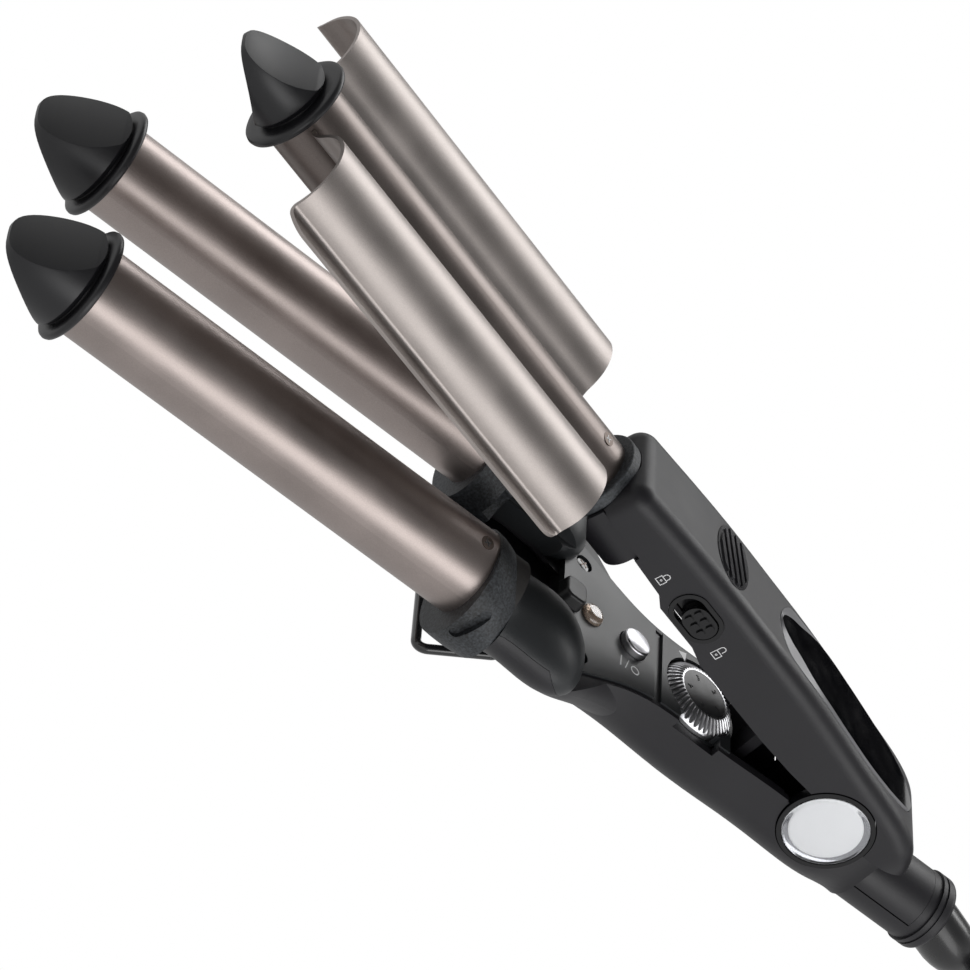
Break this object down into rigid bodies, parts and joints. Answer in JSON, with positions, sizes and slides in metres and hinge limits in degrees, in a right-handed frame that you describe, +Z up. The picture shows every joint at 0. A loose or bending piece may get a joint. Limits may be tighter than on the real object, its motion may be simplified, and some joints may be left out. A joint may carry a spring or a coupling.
{
  "type": "hair waver",
  "caption": "Hair waver with side-by-side heated barrels, a spring-opening arm with a winged barrel, slide lock, heat dial, power button, wire stand and mains cord.",
  "frame": {"origin": "on the surface that the waver stands on, under the middle of its length (the cord left out) and on its middle plane", "axes": "+X along the lower arm towards the tips, +Y along the hinge pin towards the side with the lock, +Z up"},
  "size_m": [0.4855, 0.1105, 0.0959],
  "materials": {
    "charcoal_plastic": "satin",
    "panel_plastic": "satin",
    "guard_plastic": "matte",
    "tip_plastic": "satin",
    "barrel_metal": "satin",
    "wing_metal": "satin",
    "mount_resin": "matte",
    "heater_core": "matte",
    "screw_steel": "satin",
    "pin_steel": "satin",
    "stand_wire": "gloss",
    "rubber": "satin",
    "cord_sheath": "satin",
    "cord_strap": "matte",
    "plug_plastic": "gloss",
    "plug_brass": "polished",
    "chrome": "polished",
    "gloss_black": "gloss",
    "badge_bevel": "satin",
    "grip_plastic": "satin",
    "clear": "gloss",
    "lamp": "gloss",
    "white_plastic": "satin",
    "board": "satin",
    "electric_black": "matte"
  },
  "bodies": {
    "lower_arm": {"barrel_far": "barrel_metal", "barrel_near": "barrel_metal", "barrel_screws": "screw_steel", "circuit_board": "board", "cord_coil": "cord_sheath", "cord_tie": "cord_strap", "guard_bridge": "guard_plastic", "guard_far": "guard_plastic", "guard_near": "guard_plastic", "heater_far": "heater_core", "heater_near": "heater_core", "hinge_pin": "pin_steel", "hub_disc_far": "white_plastic", "hub_disc_near": "white_plastic", "hub_lens_far": "clear", "hub_lens_near": "clear", "hub_ring_far": "gloss_black", "hub_ring_near": "gloss_black", "led_lens": "lamp", "lower_shell": "charcoal_plastic", "mount_far": "mount_resin", "mount_near": "mount_resin", "panel_screws": "screw_steel", "plug_blades": "plug_brass", "plug_body": "plug_plastic", "plug_cord": "cord_sheath", "potentiometer": "electric_black", "power_cord": "cord_sheath", "return_spring": "pin_steel", "rubber_bumper": "rubber", "switch_body": "electric_black", "tail_cover": "charcoal_plastic", "tail_ring": "charcoal_plastic", "tip_far": "tip_plastic", "tip_near": "tip_plastic", "top_cover": "panel_plastic"},
    "upper_arm": {"upper_shell": "charcoal_plastic", "centre_housing": "charcoal_plastic", "upper_liner": "charcoal_plastic", "centre_guard": "guard_plastic", "centre_mount": "mount_resin", "centre_barrel": "barrel_metal", "centre_heater": "heater_core", "centre_tip": "tip_plastic", "centre_screw": "screw_steel", "wing_near": "wing_metal", "wing_far": "wing_metal", "thumb_grip": "grip_plastic", "badge_trim": "badge_bevel", "badge_window": "gloss_black", "lock_frame": "gloss_black"},
    "lock": {"lock_slider": "gloss_black"},
    "dial": {"dial_ring": "chrome", "dial_face": "gloss_black", "dial_shaft": "electric_black"},
    "button": {"power_button": "chrome"},
    "wire_stand": {"stand": "stand_wire"},
    "cord_swivel": {"cord_swivel_sleeve": "rubber"}
  },
  "joints": [
    {"name": "arm_hinge", "type": "hinge", "parent": "lower_arm", "child": "upper_arm", "pos_m": [-0.09468, 0, 0.02125], "axis": [0, 1, 0], "range_deg": [0, 14], "stiffness_Nm_per_rad": 0.9, "springref_deg": -31.51},
    {"name": "lock_slide", "type": "slide", "parent": "upper_arm", "child": "lock", "axis": [0.97, 0, 0.2429], "range_m": [0, 0.003]},
    {"name": "dial_turn", "type": "hinge", "parent": "lower_arm", "child": "dial", "pos_m": [-0.05178, 0, 0.02125], "axis": [0, 0, 1], "range_deg": [-135, 135]},
    {"name": "button_press", "type": "slide", "parent": "lower_arm", "child": "button", "axis": [0, 0, -1], "range_m": [0, 0.0012], "stiffness_N_per_m": 500, "springref_m": -0.001},
    {"name": "stand_fold", "type": "hinge", "parent": "lower_arm", "child": "wire_stand", "pos_m": [0.00482, 0, 0.01285], "axis": [0, 1, 0], "range_deg": [0, 125]},
    {"name": "cord_swivel_turn", "type": "hinge", "parent": "lower_arm", "child": "cord_swivel", "pos_m": [-0.14008, 0, 0.01075], "axis": [-0.9563, 0, -0.2924], "continuous": true}
  ]
}
